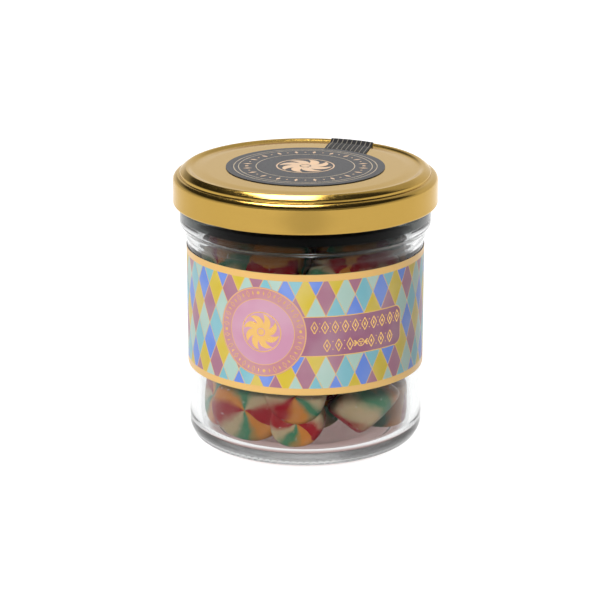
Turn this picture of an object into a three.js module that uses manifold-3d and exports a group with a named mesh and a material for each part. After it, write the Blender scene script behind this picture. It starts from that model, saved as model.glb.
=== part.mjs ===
// Twist-off tumbler jar filled with cut rock candies.
// Millimetres, +Z up, origin at the middle of the base, front towards -Y.
import * as THREE from "three";
import { mergeVertices } from "three/addons/utils/BufferGeometryUtils.js";
import Module from "manifold-3d";

const wasm = await Module();
wasm.setup();

// ---- driving dimensions -------------------------------------------------

const SEGMENTS = 64;              // facets round the jar, the lid and the label

// glass
const BODY_RADIUS = 32.8;
const WALL = 3.3;
const HEEL_RADIUS = 4.8;          // outer corner under the wall
const FLOOR_CORNER_RADIUS = 3.2;  // inner corner above the floor
const FLOOR_EDGE = 3.5;           // height of the inner floor at its edge
const FLOOR_CROWN = 4.6;          // and in its middle
const PUNT_RADIUS = 24;           // hollow under the base
const PUNT_DEPTH = 1.5;
const SHOULDER = 57.4;            // where the plain wall ends
const BEAD_RADIUS = 34.8;         // thick ring under the lid
const BEAD_LOW = 60.8;
const BEAD_HIGH = 66.9;
const NECK_RADIUS = 33.2;
const NECK_BORE = 30.1;
const RIM_HEIGHT = 75.0;
const RIM_ROUND = 1.2;

// four thread starts on the neck
const STARTS = 4;
const THREAD_RISE = 2.2;
const THREAD_LOW = 69.4;
const THREAD_HEIGHT = 1.3;
const THREAD_DEPTH = 1.5;
const THREAD_SPAN = 62;           // degrees of each start
const THREAD_STEPS = 12;

// lid
const LID_RADIUS = 36.5;
const LID_TOP = 76.7;             // flat middle of the panel
const LID_BOTTOM = 67.0;
const SHEET = 0.45;               // wall of the lid
const PANEL_RADIUS = 27;          // where the flat middle ends
const GUTTER_RADIUS = 31.5;       // shallow dip round the panel
const GUTTER_DROP = 0.4;
const CREST_RADIUS = 32.8;        // rounded outer ring
const CREST_RISE = 0.4;           // above the flat middle
const CREST_ROUND = 0.9;
const LEDGE_DROP = 1.4;           // step between the outer ring and the skirt
const EDGE_ROUND = 1.4;
const SEAL_GAP = 0.15;            // between the sealing ring in the lid and the jar's mouth
const CURL_RADIUS = 0.75;         // rolled lower edge
const LUG_ANGLE = 50;             // first lug, degrees from the front
const LUG_SPREAD = 9;             // half width of a lug, degrees
const LUG_REACH = 1.0;            // how far a lug stands in

// paper
const PAPER = 0.16;
const PASTE = 0.04;               // gap between a label and what it is stuck on
const WRAP_LOW = 21.7;
const WRAP_HIGH = 55.4;
const LAP_FROM = 35;              // facets at the back where the wrap's ends lap
const LAP_TO = 38;
const ROUND_LABEL_RADIUS = 21.9;
const STRIP_HEADING = 168.5;      // direction of the seal strip across the lid
const STRIP_NEAR = 1.1;           // its two long edges, from the lid's axis
const STRIP_FAR = 13.7;
const STRIP_END = 46;             // its lower end, on the wrap
const STRIP_LANES = 6;
const STRIP_DRIFT = 0.2;          // sideways run of the slanting strip on the skirt

// candies
const CANDY_RADIUS = 8.4;
const CANDY_LENGTH = 12.8;
const CANDY_ROUND = 1.6;
const CANDY_SIDES = 12;
const FACE_TO_GLASS = 28.3;       // how far out a flat end leans on the wall
const LAYER_HEIGHTS = [12.3, 26.1, 39.9, 53.7];
const RING_COUNT = 7;
const INNER_COUNT = 2;
const INNER_RADIUS = 8.2;
const HEAP_CLEARANCE = 0.3;
const HEAP_TOP = 65;
const CORE_RADIUS = 20;
const CORE_LOW = 9;
const CORE_HIGH = 56;

// ---- helpers ------------------------------------------------------------

const DEGREE = Math.PI / 180;
const BORE = BODY_RADIUS - WALL;
const at = (r, z) => new THREE.Vector2(r, z);

// Points of a round corner in the half plane of radius and height.
function arc(r, z, radius, from, to, steps = 4) {
  return Array.from({ length: steps + 1 }, (_, i) => {
    const angle = (from + ((to - from) * i) / steps) * DEGREE;
    return at(r + radius * Math.cos(angle), z + radius * Math.sin(angle));
  });
}

// Place given by the angle from the front towards +X, the radius and the height.
function around(angle, r, z) {
  return new THREE.Vector3(r * Math.sin(angle), -r * Math.cos(angle), z);
}

// Turned solid: the profile runs with the material on its left.
function turned(profile, segments = SEGMENTS) {
  return new THREE.LatheGeometry(profile, segments).rotateX(Math.PI / 2);
}

// A box of nu x nv x 1 cells whose corners are moved by place(u, v, w), each from 0 to 1.
function shapedBox(nu, nv, place) {
  const geometry = new THREE.BoxGeometry(1, 1, 1, nu, nv, 1).translate(0.5, 0.5, 0.5);
  const position = geometry.attributes.position;
  for (let i = 0; i < position.count; i += 1) {
    const p = place(position.getX(i), position.getY(i), position.getZ(i));
    position.setXYZ(i, p.x, p.y, p.z);
  }
  return geometry;
}

// Closed geometry as a solid that can be joined and cut, and back again.
function toSolid(geometry) {
  const bare = geometry.clone();
  bare.deleteAttribute("normal");
  bare.deleteAttribute("uv");
  const merged = mergeVertices(bare, 1e-4);
  return new wasm.Manifold(new wasm.Mesh({
    numProp: 3,
    vertProperties: new Float32Array(merged.attributes.position.array),
    triVerts: new Uint32Array(merged.index.array),
  }));
}

function fromSolid(solid) {
  const mesh = solid.getMesh();
  const geometry = new THREE.BufferGeometry();
  geometry.setAttribute("position", new THREE.BufferAttribute(mesh.vertProperties, 3));
  geometry.setIndex(new THREE.BufferAttribute(mesh.triVerts, 1));
  geometry.computeVertexNormals();
  return geometry;
}

function material(color, roughness, metalness, extra = {}) {
  return new THREE.MeshStandardMaterial({ color, roughness, metalness, ...extra });
}

const object = new THREE.Group();

function add(name, geometry, finish) {
  const mesh = new THREE.Mesh(geometry, finish);
  mesh.name = name;
  object.add(mesh);
}

// ---- glass jar ----------------------------------------------------------

// Inner corner between the floor and the wall, from the floor up.
function floorCorner(wall, floor) {
  const r = FLOOR_CORNER_RADIUS;
  return arc(wall - r, floor + r, r, -90, 0, 3);
}

function jarProfile() {
  const heel = BODY_RADIUS - HEEL_RADIUS;
  return [
    at(0, PUNT_DEPTH),
    at(PUNT_RADIUS - 3, PUNT_DEPTH * 0.75),
    at(PUNT_RADIUS, 0.4),
    at(PUNT_RADIUS + 0.6, 0),
    ...arc(heel, HEEL_RADIUS, HEEL_RADIUS, -90, 0, 5),
    at(BODY_RADIUS, SHOULDER),
    at(BODY_RADIUS + 0.6, SHOULDER + 1.2),
    at(NECK_RADIUS + 0.5, BEAD_LOW - 0.7),
    ...arc(BEAD_RADIUS - 1.3, BEAD_LOW + 1.3, 1.3, -60, 0, 3),
    ...arc(BEAD_RADIUS - 1.3, BEAD_HIGH - 1.3, 1.3, 0, 80, 3),
    at(NECK_RADIUS, BEAD_HIGH + 0.2),
    ...arc(NECK_RADIUS - RIM_ROUND, RIM_HEIGHT - RIM_ROUND, RIM_ROUND, 0, 90, 3),
    at(NECK_BORE + 0.6, RIM_HEIGHT),
    at(NECK_BORE, RIM_HEIGHT - 0.8),
    at(NECK_BORE, SHOULDER + 3.5),
    at(BORE, SHOULDER - 1),
    ...floorCorner(BORE, FLOOR_EDGE).reverse(),
    at(BORE / 2, (FLOOR_EDGE + 2 * FLOOR_CROWN) / 3),
    at(0, FLOOR_CROWN),
  ];
}

// One thread start: a ridge that rises round the neck and runs out at both ends.
function threadRidge(startAngle) {
  return shapedBox(THREAD_STEPS, 1, (along, up, out) => {
    const runOut = Math.min(1, 5 * Math.min(along, 1 - along) + 0.2);
    const angle = (startAngle + THREAD_SPAN * along) * DEGREE;
    const half = (0.5 * THREAD_HEIGHT * (out > 0.5 ? 0.35 : 1)) * runOut;
    const middle = THREAD_LOW + THREAD_HEIGHT / 2 + THREAD_RISE * along;
    const radius = NECK_RADIUS - 0.5 + out * (0.5 + THREAD_DEPTH * runOut);
    return around(angle, radius, middle + (up > 0.5 ? half : -half));
  });
}

let glass = toSolid(turned(jarProfile()));
for (let i = 0; i < STARTS; i += 1) {
  glass = glass.add(toSolid(threadRidge(LUG_ANGLE - THREAD_SPAN / 2 + (i * 360) / STARTS)));
}
add("jar", fromSolid(glass), material(0xe9edee, 0.05, 0, { transparent: true, opacity: 0.3 }));

// ---- lid ----------------------------------------------------------------

// Rounded outer ring of the lid, from its inner side over the top.
function lidCrest() {
  const middle = LID_TOP + CREST_RISE - CREST_ROUND;
  return arc(CREST_RADIUS, middle, CREST_ROUND, 155, 42, 4);
}

// Round between the ledge and the skirt.
function lidEdge() {
  const middle = LID_TOP - LEDGE_DROP - EDGE_ROUND;
  return arc(LID_RADIUS - EDGE_ROUND, middle, EDGE_ROUND, 90, 0, 4);
}

// Outer face of the lid, from the axis to the rolled edge.
function lidOutside() {
  const ledge = LID_TOP - LEDGE_DROP;
  const edgeStart = LID_RADIUS - EDGE_ROUND;
  return [
    at(0, LID_TOP),
    at(PANEL_RADIUS, LID_TOP),
    at(GUTTER_RADIUS - 1, LID_TOP - GUTTER_DROP),
    at(GUTTER_RADIUS + 0.1, LID_TOP - GUTTER_DROP),
    ...lidCrest(),
    at(edgeStart - 0.95, ledge + 0.35),
    at(edgeStart - 0.5, ledge + 0.05),
    ...lidEdge(),
    at(LID_RADIUS, LID_BOTTOM + 2.2 * CURL_RADIUS),
  ];
}

// Tinplate with the sealing ring filled in over the jar's mouth.
function lidProfile() {
  const under = LID_TOP - SHEET;
  const seal = RIM_HEIGHT + SEAL_GAP;
  const inside = LID_RADIUS - SHEET;
  return [
    at(0, under),
    at(PANEL_RADIUS, under),
    at(NECK_BORE - 1, under - GUTTER_DROP),
    at(NECK_BORE - 0.1, seal),
    at(NECK_RADIUS + 0.3, seal),
    at(LID_RADIUS - EDGE_ROUND - 0.5, LID_TOP - LEDGE_DROP - SHEET),
    at(inside, LID_TOP - LEDGE_DROP - EDGE_ROUND),
    at(inside, LID_BOTTOM + 2.6 * CURL_RADIUS),
    ...arc(LID_RADIUS - CURL_RADIUS + 0.1, LID_BOTTOM + CURL_RADIUS, CURL_RADIUS, 140, 370, 6),
    ...lidOutside().reverse(),
  ];
}

// The four lugs: stretches of the rolled edge that are pressed inwards.
function pressLugs(geometry) {
  const position = geometry.attributes.position;
  for (let i = 0; i < position.count; i += 1) {
    const [x, y, z] = [position.getX(i), position.getY(i), position.getZ(i)];
    const turn = Math.atan2(x, -y) / DEGREE - LUG_ANGLE;
    const pitch = 360 / STARTS;
    const off = Math.abs(turn - pitch * Math.round(turn / pitch)) / LUG_SPREAD;
    const low = z < LID_BOTTOM + 2 * CURL_RADIUS + 0.01;
    if (low && off < 1) {
      const radius = Math.hypot(x, y);
      const move = LUG_REACH * Math.cos((off * Math.PI) / 2) ** 2;
      position.setXYZ(i, (x * (radius - move)) / radius, (y * (radius - move)) / radius, z);
    }
  }
  return geometry;
}

const gold = material(0xc9a24e, 0.28, 0.9);
add("lid", pressLugs(turned(lidProfile())), gold);

// ---- labels -------------------------------------------------------------

// How thick the wrap is on either side of a facet's corner, in sheets.
function sheetsAt(facet) {
  if (facet === LAP_FROM) return [1, 2];
  if (facet === LAP_TO) return [2, 1];
  return facet > LAP_FROM && facet < LAP_TO ? [2] : [1];
}

// The wrap: a paper ring whose ends lap over each other at the back.
function wrapLabel() {
  const inner = BODY_RADIUS + PASTE;
  const point = (facet, r) => {
    const p = around((facet * 360 * DEGREE) / SEGMENTS, r, 0);
    return at(p.x, p.y);
  };
  const outline = [];
  const bore = [];
  for (let i = 0; i < SEGMENTS; i += 1) {
    outline.push(...sheetsAt(i).map((sheets) => point(i, inner + sheets * PAPER)));
    bore.push(point(i, inner));
  }
  const shape = new THREE.Shape(outline);
  shape.holes.push(new THREE.Path(bore));
  const options = { depth: WRAP_HIGH - WRAP_LOW, steps: 1, bevelEnabled: false };
  return new THREE.ExtrudeGeometry(shape, options).translate(0, 0, WRAP_LOW);
}

function roundLabel() {
  const under = LID_TOP + PASTE;
  const over = under + PAPER;
  const rim = ROUND_LABEL_RADIUS;
  return turned([at(0, under), at(rim, under), at(rim, over), at(0, over)]);
}

// The seal strip crosses the lid, spans its ledge, hangs free to the glass ring and ends on the wrap.
function stripPath() {
  const side = PASTE + PAPER;
  return [
    at(PANEL_RADIUS, LID_TOP),
    at(GUTTER_RADIUS - 0.5, LID_TOP - GUTTER_DROP),
    ...lidCrest(),
    ...lidEdge(),
    at(LID_RADIUS + 0.1, LID_BOTTOM + 0.3),
    at(BEAD_RADIUS + 0.1, BEAD_HIGH - 1.7),
    at(BEAD_RADIUS + 0.1, BEAD_LOW + 1.3),
    at(BODY_RADIUS + side + 0.5, WRAP_HIGH + 1),
    at(BODY_RADIUS + side + 0.06, WRAP_HIGH - 2),
    at(BODY_RADIUS + side + 0.06, STRIP_END),
  ];
}

function sealStrip() {
  const path = stripPath();
  const normals = path.map((p, i) => {
    const a = path[Math.max(0, i - 1)];
    const b = path[Math.min(path.length - 1, i + 1)];
    return at(a.y - b.y, b.x - a.x).normalize();
  });
  const skirtTop = LID_TOP - LEDGE_DROP - EDGE_ROUND;
  return shapedBox(STRIP_LANES, path.length, (across, along, out) => {
    const offset = STRIP_NEAR + (STRIP_FAR - STRIP_NEAR) * across;
    const station = Math.round(along * path.length) - 1;
    const lift = PASTE + 0.06 + out * PAPER;
    if (station < 0) {
      // against the edge of the round label
      const start = ROUND_LABEL_RADIUS + 0.3;
      return around(STRIP_HEADING * DEGREE - Math.asin(offset / start), start, LID_TOP + lift);
    }
    const p = path[station];
    const n = normals[station];
    const radius = p.x + n.x * lift;
    const fallen = Math.max(0, skirtTop - p.y);
    const turn = Math.asin(offset / radius) - (STRIP_DRIFT * fallen) / radius;
    return around(STRIP_HEADING * DEGREE - turn, radius, p.y + n.y * lift);
  });
}

add("wrap_label", wrapLabel(), material(0xcdbd7a, 0.55, 0.1));
add("lid_label", roundLabel(), material(0x6d6663, 0.5, 0.1));
add("seal_strip", sealStrip(), material(0x1c1a1b, 0.45, 0.1));

// ---- candies ------------------------------------------------------------

// Candies laid by hand at the front of the bottom: angle, radius out and height of the
// middle, heading and pitch of the candy's own axis, and size.
const LAID = [
  { angle: -37, out: 21.9, z: 12.7, heading: -37, pitch: 2, size: 1.06 },
  { angle: -2, out: 21.8, z: 12.1, heading: -4, pitch: 4, size: 0.96 },
  { angle: 50, out: 20.0, z: 14.2, heading: 86, pitch: -40, size: 0.98 },
  { angle: 82, out: 20.6, z: 11.0, heading: 80, pitch: 86, size: 1.0 },
  { angle: -77, out: 20.6, z: 12.3, heading: -60, pitch: 6, size: 1.0 },
];
const LAID_FROM = -95;
const LAID_TO = 105;

// Repeatable draws between 0 and 1.
let draw = 20261;
function next() {
  draw = (draw * 16807) % 2147483647;
  return draw / 2147483647;
}

// All the candies: layer on layer, a ring against the glass and a few inside it.
function heapPlaces() {
  const places = [...LAID];
  LAYER_HEIGHTS.forEach((height, layer) => {
    const phase = 15 + layer * 27;
    for (let i = 0; i < RING_COUNT + INNER_COUNT; i += 1) {
      const inside = i >= RING_COUNT;
      const step = 360 / (inside ? INNER_COUNT : RING_COUNT);
      const angle = phase + (i - (inside ? RING_COUNT : 0)) * step;
      const faceOut = next() < 0.55;
      const place = {
        angle,
        out: inside ? INNER_RADIUS : FACE_TO_GLASS - (faceOut ? CANDY_LENGTH / 2 : CANDY_RADIUS),
        z: height + 2.4 * (next() - 0.5),
        heading: angle + (faceOut ? 24 : 150) * (next() - 0.5) + (faceOut ? 0 : 90),
        pitch: (faceOut ? 24 : 100) * (next() - 0.5),
        size: 0.94 + 0.12 * next(),
      };
      const folded = ((angle + 180) % 360) - 180;
      const taken = layer === 0 && !inside && folded > LAID_FROM && folded < LAID_TO;
      if (!taken) places.push(place);
    }
  });
  return places;
}

function candy({ angle, out, z, heading, pitch, size }) {
  const radius = CANDY_RADIUS * size;
  const half = (CANDY_LENGTH * size) / 2;
  const edge = CANDY_ROUND;
  const profile = [
    at(0, -half),
    at(radius - edge, -half),
    at(radius, edge - half),
    at(radius, half - edge),
    at(radius - edge, half),
    at(0, half),
  ];
  const axis = around(heading * DEGREE, Math.cos(pitch * DEGREE), Math.sin(pitch * DEGREE));
  const lean = new THREE.Quaternion().setFromUnitVectors(new THREE.Vector3(0, 0, 1), axis);
  const middle = around(angle * DEGREE, out, z);
  return turned(profile, CANDY_SIDES).applyQuaternion(lean).translate(middle.x, middle.y, middle.z);
}

// The space inside the glass, a little smaller, up to the top of the heap.
function cavity() {
  const r = BORE - HEAP_CLEARANCE;
  return turned([
    at(0, FLOOR_CROWN + HEAP_CLEARANCE),
    at(BORE / 2, (FLOOR_EDGE + 2 * FLOOR_CROWN) / 3 + HEAP_CLEARANCE),
    ...floorCorner(r, FLOOR_EDGE + HEAP_CLEARANCE),
    at(r, HEAP_TOP),
    at(0, HEAP_TOP),
  ]);
}

function heap() {
  const shows = (place) => place.z < 30 || place.z > 52;
  const core = [at(0, CORE_LOW), at(CORE_RADIUS, CORE_LOW), at(CORE_RADIUS, CORE_HIGH), at(0, CORE_HIGH)];
  const pieces = heapPlaces().filter(shows).map((place) => toSolid(candy(place)));
  const joined = pieces.reduce((sum, piece) => sum.add(piece), toSolid(turned(core, 24)));
  const inJar = joined.intersect(toSolid(cavity()));
  // sealed hollows and loose scraps fall away with every shell but the largest
  const shells = inJar.decompose().sort((a, b) => b.volume() - a.volume());
  return fromSolid(shells[0]);
}

add("candies", heap(), material(0xb9504f, 0.25, 0));

export default object;
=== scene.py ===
"""Twist-off tumbler jar of cut rock candies, dressed for its final look.

The jar stands on the origin, +Z up, with the front of its wrap towards -Y. All sizes are in metres.
"""

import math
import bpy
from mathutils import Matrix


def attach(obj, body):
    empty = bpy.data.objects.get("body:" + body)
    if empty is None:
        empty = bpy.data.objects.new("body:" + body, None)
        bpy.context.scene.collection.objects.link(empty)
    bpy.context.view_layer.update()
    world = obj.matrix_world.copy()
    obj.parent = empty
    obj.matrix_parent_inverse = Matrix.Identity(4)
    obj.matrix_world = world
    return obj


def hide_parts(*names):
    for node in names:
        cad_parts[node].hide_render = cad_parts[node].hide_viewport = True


bl_info = {
    "name": "Jar of Rock Candies",
    "version": (1, 0, 0),
    "blender": (4, 5, 0),
    "location": "View3D > Sidebar > Candy Jar",
    "description": "Glass jar with a gold twist-off lid, a harlequin wrap and striped rock candies",
    "category": "Add Mesh",
}

import bmesh
import bpy
import numpy as np
from bpy.props import FloatProperty, FloatVectorProperty, IntProperty, PointerProperty
from mathutils import Quaternion, Vector

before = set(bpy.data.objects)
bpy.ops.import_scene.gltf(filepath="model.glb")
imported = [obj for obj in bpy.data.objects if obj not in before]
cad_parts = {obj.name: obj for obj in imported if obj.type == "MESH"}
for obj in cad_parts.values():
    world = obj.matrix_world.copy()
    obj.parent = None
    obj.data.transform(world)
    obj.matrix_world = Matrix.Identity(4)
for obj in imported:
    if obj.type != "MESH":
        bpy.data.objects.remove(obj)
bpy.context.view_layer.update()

BODY = "root"
PRINT_MAP = "print"


# ---- settings ---------------------------------------------------------------


def length(name, description, default):
    """A size in metres."""
    return FloatProperty(name=name, description=description, default=default, unit="LENGTH", precision=5)


def colour(name, description, default):
    """A linear colour."""
    return FloatVectorProperty(
        name=name, description=description, default=default, subtype="COLOR", size=3, min=0.0, max=1.0
    )


def plain(name, description, default, low, high):
    """A number without a unit, from low to high."""
    return FloatProperty(name=name, description=description, default=default, min=low, max=high)


class GlassSettings(bpy.types.PropertyGroup):
    """Sizes and finish of the glass jar."""

    body_radius: length("Body Radius", "Outer radius of the plain wall", 0.0328)
    wall: length("Wall", "Thickness of the plain wall", 0.0033)
    heel_radius: length("Heel Radius", "Outer round between wall and base", 0.0048)
    floor_corner: length("Floor Corner", "Inner round between wall and floor", 0.0032)
    floor_edge: length("Floor Edge", "Height of the inner floor at its edge", 0.0035)
    floor_crown: length("Floor Crown", "Height of the inner floor in its middle", 0.0046)
    punt_radius: length("Punt Radius", "Radius of the hollow under the base", 0.024)
    punt_depth: length("Punt Depth", "Depth of the hollow under the base", 0.0015)
    shoulder: length("Shoulder", "Height where the plain wall ends", 0.0574)
    bead_radius: length("Bead Radius", "Radius of the thick ring under the lid", 0.0348)
    bead_low: length("Bead Low", "Lower edge of the thick ring", 0.0608)
    bead_high: length("Bead High", "Upper edge of the thick ring", 0.0669)
    neck_radius: length("Neck Radius", "Outer radius of the neck", 0.0332)
    neck_bore: length("Neck Bore", "Inner radius of the neck", 0.0301)
    rim_height: length("Rim Height", "Height of the mouth", 0.075)
    segments: IntProperty(name="Segments", description="Facets round the glass", default=720, min=64)
    ior: plain("IOR", "Index of refraction of soda-lime glass", 1.52, 1.0, 2.0)
    tint: colour("Tint", "Colour that the glass gives to light", (0.82, 0.83, 0.83))
    shine: colour("Shine", "Strength of the glass's reflections", (0.07, 0.07, 0.07))
    # painted shade: a near-black colour for the thick ring under the lid, standing in for the shade seen
    # through it
    ring_painted_shade: colour("Ring Tint", "Colour that the thick ring gives to light", (0.004, 0.005, 0.0045))
    ring_shine: colour("Ring Shine", "Strength of the thick ring's reflections", (0.12, 0.12, 0.12))


class LidSettings(bpy.types.PropertyGroup):
    """Sizes and finish of the twist-off lid."""

    radius: length("Radius", "Outer radius of the skirt", 0.0365)
    top: length("Top", "Height of the flat middle", 0.0767)
    bottom: length("Bottom", "Height of the rolled edge's underside", 0.067)
    sheet: length("Sheet", "Thickness of the tinplate", 0.00045)
    panel_radius: length("Panel Radius", "Radius where the flat middle ends", 0.027)
    gutter_radius: length("Gutter Radius", "Radius of the shallow dip round the panel", 0.0308)
    gutter_drop: length("Gutter Drop", "Depth of the dip below the panel", 0.0002)
    crest_radius: length("Crest Radius", "Radius of the rounded outer ring", 0.0328)
    crest_rise: length("Crest Rise", "Height of the outer ring above the panel", 0.0004)
    crest_round: length("Crest Round", "Round of the outer ring's top", 0.0005)
    slope_radius: length("Slope Radius", "Radius where the outer ring's gentle slope ends", 0.0345)
    slope_drop: length("Slope Drop", "Height that the gentle slope loses", 0.00105)
    ledge_drop: length("Ledge Drop", "Height of the panel above the ledge over the skirt", 0.0015)
    edge_round: length("Edge Round", "Round between the ledge and the skirt", 0.0016)
    curl_radius: length("Curl Radius", "Radius of the rolled edge", 0.00075)
    lug_reach: length("Lug Reach", "How far a lug stands in", 0.001)
    glancing: colour("Glancing", "Tint of the lacquer seen along its surface", (1.0, 0.93, 0.80))
    gold: colour("Gold", "Reflection colour of the lacquer", (0.455, 0.288, 0.066))
    roughness: plain("Roughness", "Blur of the lacquer's reflections", 0.15, 0.0, 1.0)


class PaperSettings(bpy.types.PropertyGroup):
    """Sizes and colours of the wrap, the round label and the seal strip."""

    sheet: length("Sheet", "Thickness of the paper", 0.00016)
    paste: length("Paste", "Gap between a label and what it is stuck on", 0.00004)
    wrap_low: length("Wrap Low", "Lower edge of the wrap", 0.0217)
    wrap_high: length("Wrap High", "Upper edge of the wrap", 0.0554)
    band: length("Band", "Height of the gold bands along the wrap's edges", 0.0019)
    diamond_width: length("Diamond Width", "Pitch of the diamonds round the jar", 0.00543)
    diamond_height: length("Diamond Height", "Pitch of the diamonds up the jar", 0.01095)
    line: length("Line", "Width of the gold lines", 0.00027)
    emblem_radius: length("Emblem Radius", "Radius of the round emblem", 0.0125)
    round_radius: length("Round Label Radius", "Radius of the label on the lid", 0.0219)
    yellow: colour("Yellow", "Yellow diamonds", (0.72, 0.54, 0.05))
    mauve: colour("Mauve", "Mauve diamonds", (0.43, 0.19, 0.27))
    mint: colour("Mint", "Mint diamonds", (0.47, 0.66, 0.58))
    aqua: colour("Aqua", "Aqua diamonds", (0.23, 0.55, 0.63))
    periwinkle: colour("Periwinkle", "Blue diamonds", (0.16, 0.29, 0.80))
    rose: colour("Rose", "Outer ring of the emblem", (0.60, 0.26, 0.30))
    orchid: colour("Orchid", "Middle of the emblem", (0.66, 0.32, 0.46))
    plate: colour("Plate", "Field of the long plate", (0.38, 0.15, 0.24))
    foil: colour("Foil", "Gold foil print", (0.82, 0.51, 0.17))
    slate: colour("Slate", "Field of the label on the lid", (0.028, 0.026, 0.030))
    ink: colour("Ink", "Black of the seal strip", (0.012, 0.011, 0.012))
    # painted shade: the pasted side of the wrap is dark brown, standing in for the shade inside the jar
    back: colour("Back", "Pasted side of the wrap", (0.16, 0.11, 0.10))


class CandySettings(bpy.types.PropertyGroup):
    """Sizes and colours of the rock candies."""

    radius: length("Radius", "Radius of a candy", 0.0084)
    span: length("Length", "Length of a candy between its cut ends", 0.0128)
    edge: length("Edge", "Round along the cut edges", 0.0017)
    segments: IntProperty(name="Segments", description="Facets round a candy", default=56, min=16)
    seed: IntProperty(name="Seed", description="Start of the repeatable draws", default=20261, min=1)
    red: colour("Red", "Cherry segments", (0.46, 0.005, 0.020))
    orange: colour("Orange", "Orange segments", (0.82, 0.30, 0.055))
    green: colour("Green", "Green segments", (0.085, 0.30, 0.16))
    cream: colour("Cream", "Cream segments", (0.66, 0.50, 0.30))


class StageSettings(bpy.types.PropertyGroup):
    """Camera, floor and light."""

    distance: length("Distance", "From the camera to the point that it looks at", 0.62)
    elevation: FloatProperty(
        name="Elevation",
        description="Camera angle above the horizon",
        default=math.radians(17.35),
        subtype="ANGLE",
    )
    aim_height: length("Aim Height", "Height that the camera looks at", 0.03682)
    aim_side: length("Aim Side", "How far beside the jar's axis the camera looks", -0.00011)
    lens: plain("Lens", "Focal length in millimetres on a 36 mm sensor", 130.5, 20.0, 300.0)
    ceiling: plain("Ceiling", "Power of the large soft ceiling light in watts", 7.0, 0.0, 2000.0)
    key: plain("Key", "Power of the key light at the front on the left in watts", 15.5, 0.0, 500.0)
    fill: plain("Fill", "Power of the light behind the jar on the right in watts", 8.0, 0.0, 500.0)
    softbox: plain("Softbox", "Power of the softbox that the lid and the candies mirror", 6.5, 0.0, 500.0)
    floor: colour("Floor", "Colour of the floor", (0.25, 0.25, 0.25))
    glow: plain("Glow", "Light from the pale floor itself", 1.0, 0.0, 2.0)


class JarSettings(bpy.types.PropertyGroup):
    """Everything that the operators read."""

    glass: PointerProperty(type=GlassSettings)
    lid: PointerProperty(type=LidSettings)
    paper: PointerProperty(type=PaperSettings)
    candy: PointerProperty(type=CandySettings)
    stage: PointerProperty(type=StageSettings)


# ---- mesh helpers -----------------------------------------------------------

TINY = 1e-12  # keeps a division away from nought


def arc(r, z, radius, start, end, steps):
    """Points of a round corner in the half plane of radius and height."""
    turns = [math.radians(start + (end - start) * i / steps) for i in range(steps + 1)]
    return [(r + radius * math.cos(t), z + radius * math.sin(t)) for t in turns]


def between(a, b, i, count):
    """The point after i of count equal steps from a to b."""
    return a[0] + (b[0] - a[0]) * i / count, a[1] + (b[1] - a[1]) * i / count


def filled_in(profile, step):
    """The profile with points added on its straight stretches, at most step apart."""
    dense = [profile[0]]
    for a, b in zip(profile, profile[1:]):
        count = max(1, math.ceil(math.dist(a, b) / step))
        dense += [between(a, b, i, count) for i in range(1, count + 1)]
    return dense


def full_turn(count):
    """Angles of count equal steps round a circle, in radians."""
    return np.linspace(0, 2 * math.pi, count, endpoint=False)


def around(angle, r, z):
    """Place given by the angle from the front towards +X, in radians, the radius and the height."""
    return np.stack(np.broadcast_arrays(r * np.sin(angle), -r * np.cos(angle), z), axis=-1)


def left_of(points):
    """Unit vectors across a path of flat points, towards its left."""
    along = np.gradient(points, axis=0)
    along /= np.linalg.norm(along, axis=1)[:, None] + TINY
    return np.stack([-along[:, 1], along[:, 0]], -1)


def grid_faces(rows, columns, closed):
    """Quads between neighbouring rows of vertices; closed joins the last column to the first."""
    across = np.arange(columns if closed else columns - 1)
    row = np.arange(rows - 1)[:, None] * columns
    low, beside = row + across, row + (across + 1) % columns
    quads = np.stack([low, beside, beside + columns, low + columns], -1)
    return [tuple(quad) for quad in quads.reshape(-1, 4).tolist()]


def turned_faces(rings, segments):
    """Faces of a turned solid: quads between its rings, and fans to the two end points that follow them."""
    first, last, bottom = rings * segments, rings * segments + 1, (rings - 1) * segments
    faces = grid_faces(rings, segments, closed=True)
    for i in range(segments):
        beside = (i + 1) % segments
        faces += [(first, i, beside), (last, bottom + beside, bottom + i)]
    return faces


def piece(name, vertices, faces, finish, sharp=35.0):
    """A smooth-shaded object that rides on the jar, with its faces turned outwards."""
    mesh = bpy.data.meshes.new(name)
    mesh.from_pydata(np.asarray(vertices).tolist(), [], faces)
    tidy = bmesh.new()
    tidy.from_mesh(mesh)
    bmesh.ops.recalc_face_normals(tidy, faces=tidy.faces)
    tidy.to_mesh(mesh)
    tidy.free()
    mesh.shade_smooth()
    mesh.set_sharp_from_angle(angle=math.radians(sharp))
    mesh.materials.append(finish)
    made = bpy.data.objects.new(name, mesh)
    bpy.context.scene.collection.objects.link(made)
    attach(made, BODY)
    return made


def lathe(name, profile, segments, finish, relief=None, sharp=35.0):
    """A turned solid from a profile that starts and ends on the axis.

    relief(angle, r, z), where there is one, gives the moved r and z.
    """
    inner = np.array(profile[1:-1])
    angle, r = np.meshgrid(full_turn(segments), inner[:, 0])
    z = np.broadcast_to(inner[:, 1][:, None], r.shape)
    if relief:
        r, z = relief(angle, r, z)
    ends = [[0, 0, profile[0][1]], [0, 0, profile[-1][1]]]
    vertices = np.vstack([around(angle, r, z).reshape(-1, 3), ends])
    return piece(name, vertices, turned_faces(len(inner), segments), finish, sharp)


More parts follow.
